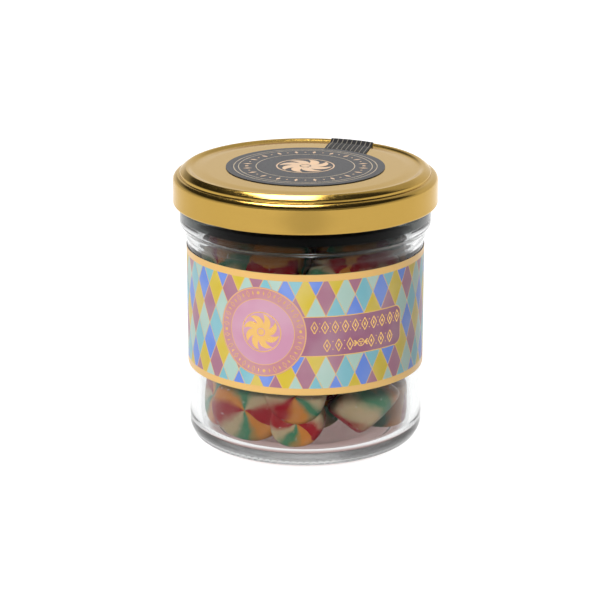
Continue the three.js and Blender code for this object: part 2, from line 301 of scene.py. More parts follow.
def slab(name, columns, rows, place, finish, sharp=35.0):
    """A closed thin sheet and the u and v of its vertices.

    place(u, v, side) gives the points of the outer face for side 1 and of the inner face for side 0.
    """
    u, v = np.meshgrid(np.linspace(0, 1, columns), np.linspace(0, 1, rows))
    vertices = np.vstack([place(u, v, side).reshape(-1, 3) for side in (1.0, 0.0)])
    count = rows * columns
    index = np.arange(count).reshape(rows, columns)
    rim = np.concatenate([index[0], index[1:, -1], index[-1, -2::-1], index[-2:0:-1, 0]]).tolist()
    faces = grid_faces(rows, columns, closed=False)
    faces += [tuple(i + count for i in reversed(face)) for face in faces]
    faces += [(a, a + count, b + count, b) for a, b in zip(rim, rim[1:] + rim[:1])]
    made = piece(name, vertices, faces, finish, sharp)
    return made, np.tile(u.ravel(), 2), np.tile(v.ravel(), 2)


def keep_map(made, name, u, v):
    """Stores one pair of print coordinates for each vertex as a UV map."""
    layer = made.data.uv_layers.new(name=name)
    corners = np.empty(len(made.data.loops), int)
    made.data.loops.foreach_get("vertex_index", corners)
    layer.data.foreach_set("uv", np.stack([u[corners], v[corners]], -1).astype(np.float32).ravel())


# ---- node helpers -----------------------------------------------------------


def darker(tone, share):
    """The colour with only a share of its light."""
    return tuple(share * c for c in tone)


class Nodes:
    """Adds nodes to a tree one after another. Inputs are numbers, colours or sockets."""

    def __init__(self, tree):
        self.tree = tree

    def put(self, socket, value):
        """Gives a value to a socket, by a link when it is the output of another node."""
        if isinstance(value, bpy.types.NodeSocket):
            self.tree.links.new(value, socket)
        elif isinstance(value, tuple) or hasattr(value, "hsv"):
            socket.default_value = (*value[:3], 1.0) if len(socket.default_value) == 4 else value[:3]
        else:
            socket.default_value = value

    def node(self, kind, inputs=(), **settings):
        """A node with its settings, and its inputs by name or number."""
        made = self.tree.nodes.new("ShaderNode" + kind)
        for key, value in settings.items():
            setattr(made, key, value)
        for key, value in dict(inputs).items():
            self.put(made.inputs[key], value)
        return made

    def math(self, operation, *values):
        return self.node("Math", dict(enumerate(values)), operation=operation).outputs[0]

    def chain(self, operation, values):
        """One operation from the first value to the last."""
        total = values[0]
        for value in values[1:]:
            total = self.math(operation, total, value)
        return total

    def sum(self, *values):
        return self.chain("ADD", values)

    def times(self, *values):
        return self.chain("MULTIPLY", values)

    def either(self, *masks):
        return self.chain("MAXIMUM", masks)

    def minus(self, a, b):
        return self.math("SUBTRACT", a, b)

    def less(self, a, b):
        return self.math("LESS_THAN", a, b)

    def apart(self, a, b):
        """How far two numbers lie apart."""
        return self.math("ABSOLUTE", self.minus(a, b))

    def distance(self, x, y):
        """How far the point (x, y) lies from (0, 0)."""
        return self.math("SQRT", self.sum(self.times(x, x), self.times(y, y)))

    def within(self, value, middle, half):
        """1 where value is no further than half from middle."""
        return self.math("COMPARE", value, middle, half)

    def without(self, mask, shape):
        """The mask with shape cut out of it."""
        return self.math("MINIMUM", mask, self.minus(1.0, shape))

    def scaled(self, value, low, high, to_low=0.0, to_high=1.0, kind="SMOOTHSTEP"):
        """The value taken from the range low to high into the range to_low to to_high, and held there."""
        inputs = dict(enumerate((value, low, high, to_low, to_high)))
        return self.node("MapRange", inputs, interpolation_type=kind).outputs[0]

    def mix(self, factor, a, b):
        """Colour b over colour a."""
        return self.node("Mix", {0: factor, 6: a, 7: b}, data_type="RGBA").outputs[2]

    def split(self, vector):
        return self.node("SeparateXYZ", {0: vector}).outputs


class Finish(Nodes):
    """A material. The constants are numbers and colours for the sockets of its main shader."""

    def __init__(self, name, **constants):
        self.material = bpy.data.materials.new(name)
        self.material.use_nodes = True
        super().__init__(self.material.node_tree)
        self.shader = self.tree.nodes["Principled BSDF"]
        for socket, value in constants.items():
            self.set(socket.replace("_", " ").title().replace("Ior", "IOR"), value)

    def set(self, socket, value):
        self.put(self.shader.inputs[socket], value)

    def place(self):
        """Where a point of the surface lies, in metres."""
        return self.node("TexCoord").outputs["Object"]

    def printed(self):
        """Where a point lies in the print, from the UV map that its sheet keeps."""
        return self.split(self.node("UVMap", uv_map=PRINT_MAP).outputs[0])

    def noise(self, scale, detail, vector=None, roughness=0.5):
        inputs = {"Scale": scale, "Detail": detail, "Roughness": roughness, "Vector": vector or self.place()}
        return self.node("TexNoise", inputs).outputs[0]

    def bump(self, height, distance, strength):
        made = self.node("Bump", {"Height": height, "Distance": distance, "Strength": strength})
        self.set("Normal", made.outputs[0])


# ---- glass ------------------------------------------------------------------

FOOT_ROUND = 0.0008
BEAD_ROUND = 0.0013
LIP_OUTSIDE = 0.0012
LIP_INSIDE = 0.0008
OUTSIDE_STEP = 0.0011
INSIDE_STEP = 0.0016
THREAD_STARTS = 4
THREAD_LOW = 0.0694
THREAD_HEIGHT = 0.0013
THREAD_RISE = 0.0022
THREAD_DEPTH = 0.0015
THREAD_SPAN = math.radians(62)
LUG_ANGLE = math.radians(50)
MOULD_LINES = ((0.0576, 0.00018), (0.0588, 0.0002), (0.0603, 0.00018), (0.0668, 0.0002))  # height, size
MOULD_LINE_WIDTH = 0.00028
MARK_HEIGHT = 0.0013
MARK_SPREAD = 0.0008
MARK_DEPTH = 0.0002
MARKS_AROUND = 110
MARKS_TOP = 0.0034
FROST_LOW = 0.0016  # the frosting under the base fades out from here
FROST_HIGH = 0.0044  # to here
WAVE_DEPTH = 0.00006
WAVE_FADE = 0.006


def glass_profile(s):
    """Outline of the glass from under the base, up the outside, over the mouth and down the inside."""
    heel, bead, bore = s.body_radius - s.heel_radius, s.bead_radius - BEAD_ROUND, s.body_radius - s.wall
    corner, floor, dome = s.floor_corner, s.floor_edge, s.floor_crown - s.floor_edge
    outside = [
        (0, s.punt_depth),
        (s.punt_radius - 0.003, s.punt_depth * 0.75),
        (s.punt_radius - 0.0008, 0.0006),
        *arc(s.punt_radius + 0.0006, FOOT_ROUND, FOOT_ROUND, 200, 270, 5),
        *arc(heel, s.heel_radius, s.heel_radius, -90, 0, 18),
        (s.body_radius, s.shoulder),
        (s.body_radius + 0.0006, s.shoulder + 0.0012),
        (s.neck_radius + 0.0005, s.bead_low - 0.0007),
        *arc(bead, s.bead_low + BEAD_ROUND, BEAD_ROUND, -60, 0, 6),
        *arc(bead, s.bead_high - BEAD_ROUND, BEAD_ROUND, 0, 80, 6),
        (s.neck_radius, s.bead_high + 0.0002),
        *arc(s.neck_radius - LIP_OUTSIDE, s.rim_height - LIP_OUTSIDE, LIP_OUTSIDE, 0, 90, 6),
    ]
    inside = [
        *arc(s.neck_bore + LIP_INSIDE, s.rim_height - LIP_INSIDE, LIP_INSIDE, 90, 180, 5),
        (s.neck_bore, s.shoulder + 0.0038),
        (s.neck_bore - 0.0002, s.shoulder + 0.0022),
        (bore + 0.0001, s.shoulder),
        (bore, s.shoulder - 0.0015),
        *arc(bore - corner, floor + corner, corner, 0, -90, 12),
        (bore * 0.7, floor + dome * 0.45),
        (bore * 0.4, floor + dome * 0.82),
        (0, s.floor_crown),
    ]
    return filled_in(outside, OUTSIDE_STEP), filled_in(inside, INSIDE_STEP)


def thread_lift(angle, z):
    """How far the thread starts stand out of the neck."""
    lift = np.zeros_like(angle)
    for start in full_turn(THREAD_STARTS):
        begin = LUG_ANGLE - THREAD_SPAN / 2 + start
        along = np.mod(angle - begin, 2 * math.pi) / THREAD_SPAN
        run_out = np.clip(5 * np.minimum(along, 1 - along) + 0.2, 0, 1) * (along <= 1)
        middle = THREAD_LOW + THREAD_HEIGHT / 2 + THREAD_RISE * along
        ridge = np.clip(1.4 - np.abs(z - middle) / (0.5 * THREAD_HEIGHT), 0, 1)
        lift = np.maximum(lift, THREAD_DEPTH * run_out * ridge)
    return lift


def glass_relief(s, outer_rows):
    """Small shapes in the glass: thread starts, mould lines, marks on the heel and a wavy inside."""

    def relief(angle, r, z):
        outer = np.arange(r.shape[0])[:, None] < outer_rows
        on_neck = outer & (z > THREAD_LOW - 0.001) & (r > s.neck_radius - 0.0004)
        r = r + np.where(on_neck, thread_lift(angle, z), 0)
        for height, size in MOULD_LINES:
            r = r + np.where(outer, size * np.exp(-(((z - height) / MOULD_LINE_WIDTH) ** 2)), 0)
        on_heel = outer & (z < MARKS_TOP) & (r > s.punt_radius + 0.001)
        marks = np.clip(np.cos(MARKS_AROUND * angle + 900 * z) * 1.8 - 0.7, 0, 1)
        marks = marks * np.exp(-(((z - MARK_HEIGHT) / MARK_SPREAD) ** 2))
        r = r + np.where(on_heel, MARK_DEPTH * marks * (0.6 + 0.4 * np.cos(angle + 0.6)), 0)
        above_corner = z - s.floor_edge - s.floor_corner
        on_wall = ~outer & (r > s.neck_bore - 0.0016) & (above_corner > 0)
        wave = np.sin(3 * angle + 90 * z) + 0.7 * np.sin(5 * angle - 150 * z + 1.3) + 0.4 * np.sin(230 * z)
        fade = np.clip(above_corner / WAVE_FADE, 0, 1)
        return r + np.where(on_wall, WAVE_DEPTH * wave * fade, 0), z

    return relief


def glass_finish(s):
    """Clear glass, frosted under its base, with painted shade in the ring under the lid; lamps shine through
    it.
    """
    f = Finish("clear_flint_glass", transmission_weight=1.0, ior=s.ior)
    _, _, height = f.split(f.place())
    ring_low = f.scaled(height, s.bead_low + 0.0022, s.bead_low + 0.003)
    ring = f.times(ring_low, f.scaled(height, s.bead_high - 0.0006, s.bead_high, 1.0, 0.0))
    # painted shade: the thick ring under the lid takes the near-black ring colour
    f.set("Base Color", f.mix(ring, s.tint, s.ring_painted_shade))
    f.set("Specular Tint", f.mix(ring, s.shine, s.ring_shine))
    f.set("Roughness", f.scaled(height, FROST_LOW, FROST_HIGH, 0.2, 0.0))
    f.bump(f.noise(70.0, 1.0), 0.00002, 0.35)
    clear = f.node("BsdfTransparent", {"Color": s.tint}).outputs[0]
    shadow = f.node("LightPath").outputs["Is Shadow Ray"]
    mixed = f.node("MixShader", {0: shadow, 1: f.shader.outputs[0], 2: clear})
    f.put(f.tree.nodes["Material Output"].inputs["Surface"], mixed.outputs[0])
    return f.material


class AddGlass(bpy.types.Operator):
    """Turns the glass jar with its base, thick ring, neck and thread starts"""

    bl_idname = "candy_jar.add_glass"
    bl_label = "Glass Jar"

    def execute(self, context):
        s = context.scene.candy_jar.glass
        outside, inside = glass_profile(s)
        relief = glass_relief(s, len(outside) - 1)
        made = lathe("glass_jar", outside + inside, s.segments, glass_finish(s), relief, sharp=60.0)
        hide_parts("jar")
        return {"FINISHED"}


# ---- lid --------------------------------------------------------------------

LUG_SPREAD = math.radians(9)
SEAL_GAP = 0.00015
LID_SEGMENTS = 384


def eased(start, end, steps):
    """Points of a curve that leaves start level and reaches end level."""
    points = []
    for i in range(steps + 1):
        lift = 0.5 - 0.5 * math.cos(math.pi * i / steps)
        points.append((between(start, end, i, steps)[0], start[1] + (end[1] - start[1]) * lift))
    return points


def lid_crest(s):
    """Outer ring of the lid, from its top down its gentle outer slope."""
    top, steps = s.top + s.crest_rise, 14
    start = (s.crest_radius + 0.0002, top - 0.00004)
    slope = []
    for i in range(1, steps + 1):
        t = i / steps
        fall = s.slope_drop * (0.62 * t + 0.38 * t * t)
        slope.append((start[0] + (s.slope_radius - start[0]) * t, start[1] - fall))
    return arc(s.crest_radius, top - s.crest_round, s.crest_round, 90, 68, 5) + slope


def lid_edge(s):
    """Round between the ledge and the skirt."""
    return arc(s.radius - s.edge_round, s.top - s.ledge_drop - s.edge_round, s.edge_round, 84, 0, 12)


def lid_outside(s):
    """Outer face of the lid, from the axis to the top of the rolled edge."""
    gutter, ledge = (s.gutter_radius, s.top - s.gutter_drop), s.top - s.ledge_drop
    return [
        (0, s.top),
        *eased((s.panel_radius, s.top), gutter, 14),
        *eased(gutter, (s.crest_radius - 0.0001, s.top + s.crest_rise), 12)[1:-1],
        *lid_crest(s),
        *((s.slope_radius + 0.00006 + 0.00001 * i, ledge + 0.0006 - 0.0001 * i) for i in range(6)),
        (s.slope_radius + 0.0002, ledge + 0.00003),
        *lid_edge(s),
        (s.radius, s.bottom + 2.2 * s.curl_radius),
    ]


def lid_profile(s, g):
    """Outline of the tinplate with its sealing ring, from the axis under the panel to the axis on top."""
    under, curl, inner = s.top - s.sheet, s.curl_radius, s.radius - s.sheet
    seal = g.rim_height + SEAL_GAP
    inside = [
        (0, under),
        (s.panel_radius, under),
        (g.neck_bore - 0.001, under - s.gutter_drop),
        (g.neck_bore - 0.0001, seal),
        (g.neck_radius + 0.0003, seal),
        (s.radius - s.edge_round - 0.0005, s.top - s.ledge_drop - s.sheet),
        (inner, s.top - s.ledge_drop - s.edge_round),
        (inner, s.bottom + 2.6 * curl),
        *arc(s.radius - curl + 0.00006, s.bottom + curl, curl, 140, 370, 20),
    ]
    return filled_in(inside + lid_outside(s)[::-1], 0.003)


def lid_relief(s):
    """Presses the four lugs of the rolled edge inwards."""

    def relief(angle, r, z):
        pitch = 2 * math.pi / THREAD_STARTS
        turn = angle - LUG_ANGLE
        off = np.abs(turn - pitch * np.round(turn / pitch)) / LUG_SPREAD
        pressed = (z < s.bottom + 2 * s.curl_radius + 0.00001) & (off < 1)
        inner = np.clip((s.radius - r) / (2 * s.curl_radius), 0, 1)
        return r - np.where(pressed, s.lug_reach * inner * np.cos(off * math.pi / 2) ** 2, 0), z

    return relief


def lid_finish(s):
    """Gold lacquer on tinplate: faint mottling, a fine orange peel and hairline scuffs."""
    f = Finish("gold_lacquer", metallic=1.0, specular_tint=s.glancing)
    f.set("Base Color", f.mix(f.noise(140.0, 3.0), darker(s.gold, 0.95), s.gold))
    scuffs = f.noise(900.0, 4.0, roughness=0.7)
    f.set("Roughness", f.scaled(scuffs, 0.3, 0.75, s.roughness, s.roughness + 0.07, "LINEAR"))
    f.bump(f.noise(420.0, 2.0), 0.00002, 0.06)
    return f.material


class AddLid(bpy.types.Operator):
    """Turns the gold twist-off lid with its pressed ring, rolled edge and lugs"""

    bl_idname = "candy_jar.add_lid"
    bl_label = "Twist-off Lid"

    def execute(self, context):
        jar = context.scene.candy_jar
        s = jar.lid
        profile = lid_profile(s, jar.glass)
        made = lathe("twist_off_lid", profile, LID_SEGMENTS, lid_finish(s), lid_relief(s), sharp=50.0)
        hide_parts("lid")
        return {"FINISHED"}


# ---- foil ornaments ---------------------------------------------------------

FOIL_RISE = 0.00003
PINWHEEL_BLADES = 8
PINWHEEL_SWEEP = math.radians(38)


def on_circle(u, v, radius, turn):
    """The point of a circle round (u, v) at an angle."""
    return u + radius * math.cos(turn), v + radius * math.sin(turn)


def lozenge_corners(u, v, width, height, turn):
    """Corners of a lozenge in order."""
    c, s = math.cos(turn), math.sin(turn)
    corners = ((0, height / 2), (-width / 2, 0), (0, -height / 2), (width / 2, 0))
    return [(u + x * c - y * s, v + x * s + y * c) for x, y in corners]


class Foil:
    """Flat ornaments drawn in the plane of the paper, later laid on it as thin raised foil."""

    def __init__(self):
        self.points = []
        self.faces = []

    def polygon(self, points):
        """One convex face round its points."""
        start = len(self.points)
        self.points += points
        self.faces.append(list(range(start, start + len(points))))

    def ribbon(self, points, widths):
        """A band of quads along the points; widths is one number, or one for each point."""
        points = np.array(points, float)
        side = left_of(points) * np.broadcast_to(widths, len(points))[:, None] / 2
        start = len(self.points)
        for left, right in zip(points + side, points - side):
            self.points += [tuple(left), tuple(right)]
        for i in range(len(points) - 1):
            a = start + 2 * i
            self.faces.append([a, a + 1, a + 3, a + 2])

    def circle(self, u, v, radius, width, steps):
        turns = np.linspace(0, 2 * math.pi, steps + 1)
        self.ribbon([on_circle(u, v, radius, turn) for turn in turns], width)

    def dot(self, u, v, radius):
        self.polygon([on_circle(u, v, radius, turn) for turn in full_turn(16)])

    def lozenge(self, u, v, width, height, turn=0.0):
        self.polygon(lozenge_corners(u, v, width, height, turn))

    def outline(self, u, v, width, height, line, turn=0.0):
        """A lozenge drawn as a line."""
        corners = lozenge_corners(u, v, width, height, turn)
        for start, end in zip(corners, corners[1:] + corners[:1]):
            self.ribbon([start, end], line)

    def petal(self, u, v, turn, near, far, width):
        """A leaf shape that points away from (u, v)."""
        shares = [i / 10 for i in range(11)]
        spine = [on_circle(u, v, near + (far - near) * t, turn) for t in shares]
        self.ribbon(spine, [width * (math.sin(math.pi * t**0.8) + 0.02) for t in shares])

    def pinwheel(self, u, v, radius):
        """A candy pinwheel: swept blades round a middle dot, inside a fine ring."""
        shares = [i / 9 for i in range(10)]
        bulge = [math.sin(math.pi * min(1.0, 0.12 + 0.88 * t)) ** 0.8 for t in shares]
        for start in full_turn(PINWHEEL_BLADES):
            turns = [start + PINWHEEL_SWEEP * t * t for t in shares]
            spine = [on_circle(u, v, radius * (0.2 + 0.72 * t), turn) for t, turn in zip(shares, turns)]
            self.ribbon(spine, [radius * 0.34 * share + 0.00003 for share in bulge])
        self.dot(u, v, radius * 0.16)
        self.circle(u, v, radius, radius * 0.05, 64)

    def wrapped_sweet(self, u, v, size):
        """A round sweet in a twisted paper, lying level."""
        self.circle(u, v, size * 0.5, size * 0.11, 32)
        for turn in full_turn(3):
            self.petal(u, v, turn + 0.5, size * 0.04, size * 0.4, size * 0.2)
        for side in (-1, 1):
            for spread in (-0.399, 0.0, 0.399):
                tip = (u + side * size * 1.05, v + spread * size)
                self.ribbon([(u + side * size * 0.56, v), tip], [size * 0.06, size * 0.24])

    def lay(self, name, finish, mapping):
        """Raises the ornaments by the foil's thickness; mapping(u, v, lift) puts a point on the paper."""
        sheet = bmesh.new()
        vertices = [sheet.verts.new((u, v, 0)) for u, v in self.points]
        for face in self.faces:
            sheet.faces.new([vertices[i] for i in face])
        bmesh.ops.remove_doubles(sheet, verts=sheet.verts, dist=1e-7)
        raised = bmesh.ops.extrude_face_region(sheet, geom=sheet.faces[:], use_keep_orig=True)
        for item in raised["geom"]:
            if isinstance(item, bmesh.types.BMVert):
                item.co.z = FOIL_RISE
        flat = np.array([vertex.co for vertex in sheet.verts])
        sheet.verts.index_update()
        faces = [tuple(vertex.index for vertex in face.verts) for face in sheet.faces]
        sheet.free()
        return piece(name, mapping(flat[:, 0], flat[:, 1], flat[:, 2]), faces, finish, sharp=20.0)


def foil_finish(name, tone, roughness):
    """Hot-stamped foil with a little crinkle and uneven shine."""
    f = Finish(name, metallic=1.0)
    worn = f.noise(500.0, 3.0)
    f.set("Base Color", f.mix(worn, darker(tone, 0.82), tone))
    f.set("Roughness", f.scaled(worn, 0.3, 0.7, roughness - 0.08, roughness + 0.08, "LINEAR"))
    f.bump(f.noise(1500.0, 2.0), 0.00001, 0.4)
    return f.material


def satin_paper(f, grain_scale, tone, fleck, flecked, smooth, rough):
    """Grainy satin paper: sets its roughness and bump, and gives its colour."""
    grain = f.noise(grain_scale, 3.0)
    f.set("Roughness", f.scaled(grain, 0.3, 0.7, smooth, rough, "LINEAR"))
    f.bump(grain, 0.00002, 0.25)
    return f.mix(f.scaled(grain, 0.3, 0.8, 0.0, flecked), tone, fleck)


# ---- wrap -------------------------------------------------------------------

LAP_FROM = math.radians(196.875)
LAP_TO = math.radians(213.75)
LAP_RAMP = math.radians(2.5)
LAP_SLIT = 0.0005  # radians between the wrap's two ends, where they lap
EMBLEM = (-0.0121, 0.0389)
EMBLEM_RING = 0.735  # share of the emblem's radius
EMBLEM_TRACK = 0.87
EMBLEM_PINWHEEL = 0.44
EMBLEM_BEADS = 44
EMBLEM_DOT = 0.00042
EMBLEM_OUTLINED = (0.00085, 0.0018, 0.00012)  # width, height and line of an outlined lozenge
EMBLEM_SOLID = (0.00045, 0.0013)  # width and height of a solid one
DIAMOND = (0.0055, 0.0493)
LINE_STRENGTH = 0.75
PLATE_LEFT = -0.004
PLATE_RIGHT = 0.0294
PLATE_LOW = 0.0327
PLATE_HIGH = 0.0437
PLATE_CORNER = 0.0024
# Left end, right end and height of each garland, and its number of ornaments.
GARLANDS = ((0.0024, 0.0279, PLATE_HIGH - 0.003, 10), (0.0058, 0.0251, PLATE_LOW + 0.0029, 7))
GARLAND_OUTLINED = (0.0019, 0.0034, 0.00024)
GARLAND_SOLID = (0.0006, 0.0013)
GARLAND_SWEET = 0.0019
GARLAND_DOT = 0.00016
GARLAND_DOT_RISE = 0.0011
FADED = (0.95, 0.93, 0.90)


def harlequin(f, p, u, v):
    """Colour of the diamonds, and the mask of the lines between them."""
    across = f.math("DIVIDE", f.minus(u, DIAMOND[0]), p.diamond_width)
    upward = f.math("DIVIDE", f.minus(v, DIAMOND[1]), p.diamond_height)
    rising, falling = f.sum(across, upward, 0.5), f.sum(f.minus(across, upward), 0.5)
    order = f.minus(f.times(f.math("FLOOR", falling), 2.0), f.math("FLOOR", rising))
    order = f.math("FLOORED_MODULO", order, 5.0)
    tint = p.mauve
    for place, tone in enumerate((p.mint, p.aqua, p.periwinkle, p.yellow), start=1):
        tint = f.mix(f.within(order, float(place), 0.4), tint, tone)
    half_line = p.line / 2 * math.hypot(1 / p.diamond_width, 1 / p.diamond_height)
    lines = [f.less(0.5 - half_line, f.apart(f.math("FRACT", value), 0.5)) for value in (rising, falling)]
    return tint, f.times(f.either(*lines), LINE_STRENGTH)


def plate_edge(f, u, v):
    """Distance from the outline of the long plate, below 0 inside it."""
    over = []
    for value, low, high in ((u, PLATE_LEFT, PLATE_RIGHT), (v, PLATE_LOW, PLATE_HIGH)):
        over.append(f.minus(f.apart(value, (low + high) / 2), (high - low) / 2 - PLATE_CORNER))
    corner = f.distance(*(f.either(o, 0.0) for o in over))
    return f.sum(corner, f.math("MINIMUM", f.either(*over), 0.0), -PLATE_CORNER)


def wrap_finish(p):
    """Coated paper with a harlequin print, gold foil lines, a round emblem, a long plate and gold bands."""
    f = Finish("harlequin_paper", specular_ior_level=0.25, coat_weight=0.1, coat_roughness=0.25)
    u, v, _ = f.printed()
    tint, foil = harlequin(f, p, u, v)

    edge = plate_edge(f, u, v)
    plate = f.less(edge, 0.0)
    tint = f.mix(plate, tint, p.plate)
    foil = f.either(f.without(foil, plate), f.within(edge, 0.0, p.line * 0.5))

    away = f.distance(f.minus(u, EMBLEM[0]), f.minus(v, EMBLEM[1]))
    emblem, ring = f.less(away, p.emblem_radius), p.emblem_radius * EMBLEM_RING
    tint = f.mix(f.less(away, ring), f.mix(emblem, tint, p.rose), p.orchid)
    rings = f.within(away, p.emblem_radius - p.line, p.line * 0.45), f.within(away, ring, p.line * 0.3)
    bands = f.less(v, p.wrap_low + p.band), f.less(p.wrap_high - p.band, v)
    foil = f.either(f.without(foil, emblem), *rings, *bands)

    grain = f.noise(1100.0, 3.0)
    faded = f.scaled(f.noise(90.0, 2.0), 0.35, 0.7, 0.0, 0.12)
    front = f.mix(foil, f.mix(faded, tint, FADED), p.foil)
    # painted shade: the pasted side takes the dark back colour, standing in for shade inside the jar
    back = f.less(v, 0.0)
    f.set("Base Color", f.mix(back, front, f.mix(grain, darker(p.back, 0.85), p.back)))
    f.set("Metallic", f.without(f.scaled(foil, 0.0, 1.0, 0.08, 0.32, "LINEAR"), back))
    f.set("Roughness", f.sum(f.scaled(foil, 0.0, 1.0, 0.36, 0.3, "LINEAR"), f.times(grain, 0.06)))
    f.bump(f.sum(f.times(grain, 0.3), foil), 0.00003, 0.35)
    return f.material


def emblem_foil(foil, p):
    """A pinwheel sweet in the emblem, with lozenges and beads round it."""
    foil.pinwheel(*EMBLEM, p.emblem_radius * EMBLEM_PINWHEEL)
    for i in range(EMBLEM_BEADS):
        turn = 2 * math.pi * (i + 0.5) / EMBLEM_BEADS
        place = on_circle(*EMBLEM, p.emblem_radius * EMBLEM_TRACK, turn)
        if i % 11 == 0:
            foil.dot(*place, EMBLEM_DOT)
        elif i % 2:
            foil.outline(*place, *EMBLEM_OUTLINED, turn - math.pi / 2)
        else:
            foil.lozenge(*place, *EMBLEM_SOLID, turn - math.pi / 2)


def plate_foil(foil):
    """Two garlands of outlined lozenges on the plate, the lower one with a wrapped sweet in its middle."""
    for left, right, level, count in GARLANDS:
        step, middle = (right - left) / (count - 1), count // 2 if count % 2 else None
        for i in range(count):
            u = left + step * i
            if i == middle:
                foil.wrapped_sweet(u, level, GARLAND_SWEET)
                continue
            foil.outline(u, level, *GARLAND_OUTLINED)
            foil.lozenge(u, level, *GARLAND_SOLID)
            if i + 1 not in (middle, count):
                for rise in (GARLAND_DOT_RISE, -GARLAND_DOT_RISE):
                    foil.dot(u + step / 2, level + rise, GARLAND_DOT)


class AddWrap(bpy.types.Operator):
    """Lays the printed wrap round the jar and its gold foil ornaments on it"""

    bl_idname = "candy_jar.add_wrap"
    bl_label = "Wrap"

    def execute(self, context):
        jar = context.scene.candy_jar
        p = jar.paper
        bore = jar.glass.body_radius + p.paste
        skin, height = bore + p.sheet, p.wrap_high - p.wrap_low
        begin = LAP_TO - 2 * math.pi

        def place(u, v, side):
            angle = begin + (2 * math.pi - LAP_SLIT) * u
            lapped = np.clip((angle - LAP_FROM) / LAP_RAMP, 0, 1)
            return around(angle, bore + side * p.sheet * (1 + lapped), p.wrap_low + height * v)

        made, u, v = slab("wrap_paper", 361, 12, place, wrap_finish(p))
        print_v = p.wrap_low + height * v
        print_v[len(v) // 2 :] -= 1.0  # below 0 on the pasted side
        keep_map(made, PRINT_MAP, (begin + 2 * math.pi * u) * skin, print_v)
        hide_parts("wrap_label")

        ornaments = Foil()
        emblem_foil(ornaments, p)
        plate_foil(ornaments)
        finish = foil_finish("wrap_gold_foil", p.foil, 0.32)
        foil = ornaments.lay("wrap_foil", finish, lambda u, v, lift: around(u / skin, skin + lift, v))
        return {"FINISHED"}


# ---- round label ------------------------------------------------------------

LABEL_RINGS = (0.90, 0.84, 0.62)  # shares of the label's radius
LABEL_RING_HALF = 0.00013
LABEL_TRACK = 0.735
LABEL_PINWHEEL = 0.36
LABEL_BEADS = 40
LABEL_LOZENGE = (0.0010, 0.0026)
LABEL_DOT = 0.00028
LABEL_LARGE_DOT = 0.0005
PALE_GOLD = (0.75, 0.60, 0.40)
ROSE_GOLD = (0.85, 0.58, 0.36)


def round_finish(p):
    """Dark satin paper with fine pale gold rings."""
    f = Finish("slate_satin_paper", specular_ior_level=0.12)
    x, y, _ = f.split(f.place())
    away = f.distance(x, y)
    rings = f.either(*(f.within(away, share * p.round_radius, LABEL_RING_HALF) for share in LABEL_RINGS))
    tone = satin_paper(f, 1300.0, p.slate, (0.07, 0.065, 0.07), 0.25, 0.26, 0.36)
    f.set("Base Color", f.mix(rings, tone, PALE_GOLD))
    return f.material


def round_foil(p):
    """Ornaments of the round label: a pinwheel in the middle, beads and lozenges between its rings."""
    foil = Foil()
    foil.pinwheel(0, 0, p.round_radius * LABEL_PINWHEEL)
    for i, turn in enumerate(full_turn(LABEL_BEADS)):
        place = on_circle(0, 0, p.round_radius * LABEL_TRACK, turn)
        if i % 2:
            foil.lozenge(*place, *LABEL_LOZENGE, turn - math.pi / 2)
        else:
            foil.dot(*place, LABEL_DOT if i % 20 else LABEL_LARGE_DOT)
    return foil


class AddRoundLabel(bpy.types.Operator):
    """Puts the dark round label with its foil ornaments on the lid"""

    bl_idname = "candy_jar.add_round_label"
    bl_label = "Round Label"

    def execute(self, context):
        jar = context.scene.candy_jar
        p, top = jar.paper, jar.lid.top
        rim, under, over = p.round_radius, top + p.paste, top + p.paste + p.sheet
        profile = filled_in([(0, under), (rim, under), (rim, over), (0, over)], 0.002)
        made = lathe("round_label_paper", profile, 192, round_finish(p))
        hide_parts("lid_label")
        finish = foil_finish("lid_gold_foil", ROSE_GOLD, 0.35)
        ornaments = round_foil(p)
        foil = ornaments.lay("round_label_foil", finish, lambda u, v, lift: np.stack([u, v, over + lift], -1))
        return {"FINISHED"}


# ---- seal strip -------------------------------------------------------------

STRIP_HEADING = math.radians(168.5)
STRIP_NEAR = 0.0011
STRIP_FAR = 0.0137
STRIP_END = 0.046
STRIP_DRIFT = 0.2  # how far the strip leans sideways for each metre that it hangs down
STRIP_LINES = 9.0
STRIP_LINE_HALF = 0.09
STRIP_PALE = (0.34, 0.30, 0.24)


def strip_path(jar):
    """Radius and height of the strip's route over the lid and down to the wrap."""
    s, g, p = jar.lid, jar.glass, jar.paper
    side = p.paste + p.sheet
    rows = [
        (s.panel_radius, s.top),
        (s.gutter_radius - 0.0005, s.top - s.gutter_drop),
        *lid_crest(s),
        *lid_edge(s),
        (s.radius + 0.0001, s.bottom + 0.0003),
        (g.bead_radius + 0.0001, g.bead_high - 0.0017),
        (g.bead_radius + 0.0001, g.bead_low + 0.0013),
        (g.body_radius + side + 0.0005, p.wrap_high + 0.001),
        (g.body_radius + side + 0.00006, p.wrap_high - 0.002),
        (g.body_radius + side + 0.00006, STRIP_END),
    ]
    return filled_in(rows, 0.0012)


def strip_finish(p):
    """Black satin paper with thin pale lines along it."""
    f = Finish("black_strip_paper", specular_ior_level=0.05)
    u, _, _ = f.printed()
    lines = f.less(f.apart(f.math("FRACT", f.times(u, STRIP_LINES)), 0.5), STRIP_LINE_HALF)
    tone = satin_paper(f, 1200.0, p.ink, (0.05, 0.05, 0.05), 0.2, 0.34, 0.46)
    f.set("Base Color", f.mix(lines, tone, STRIP_PALE))
    return f.material


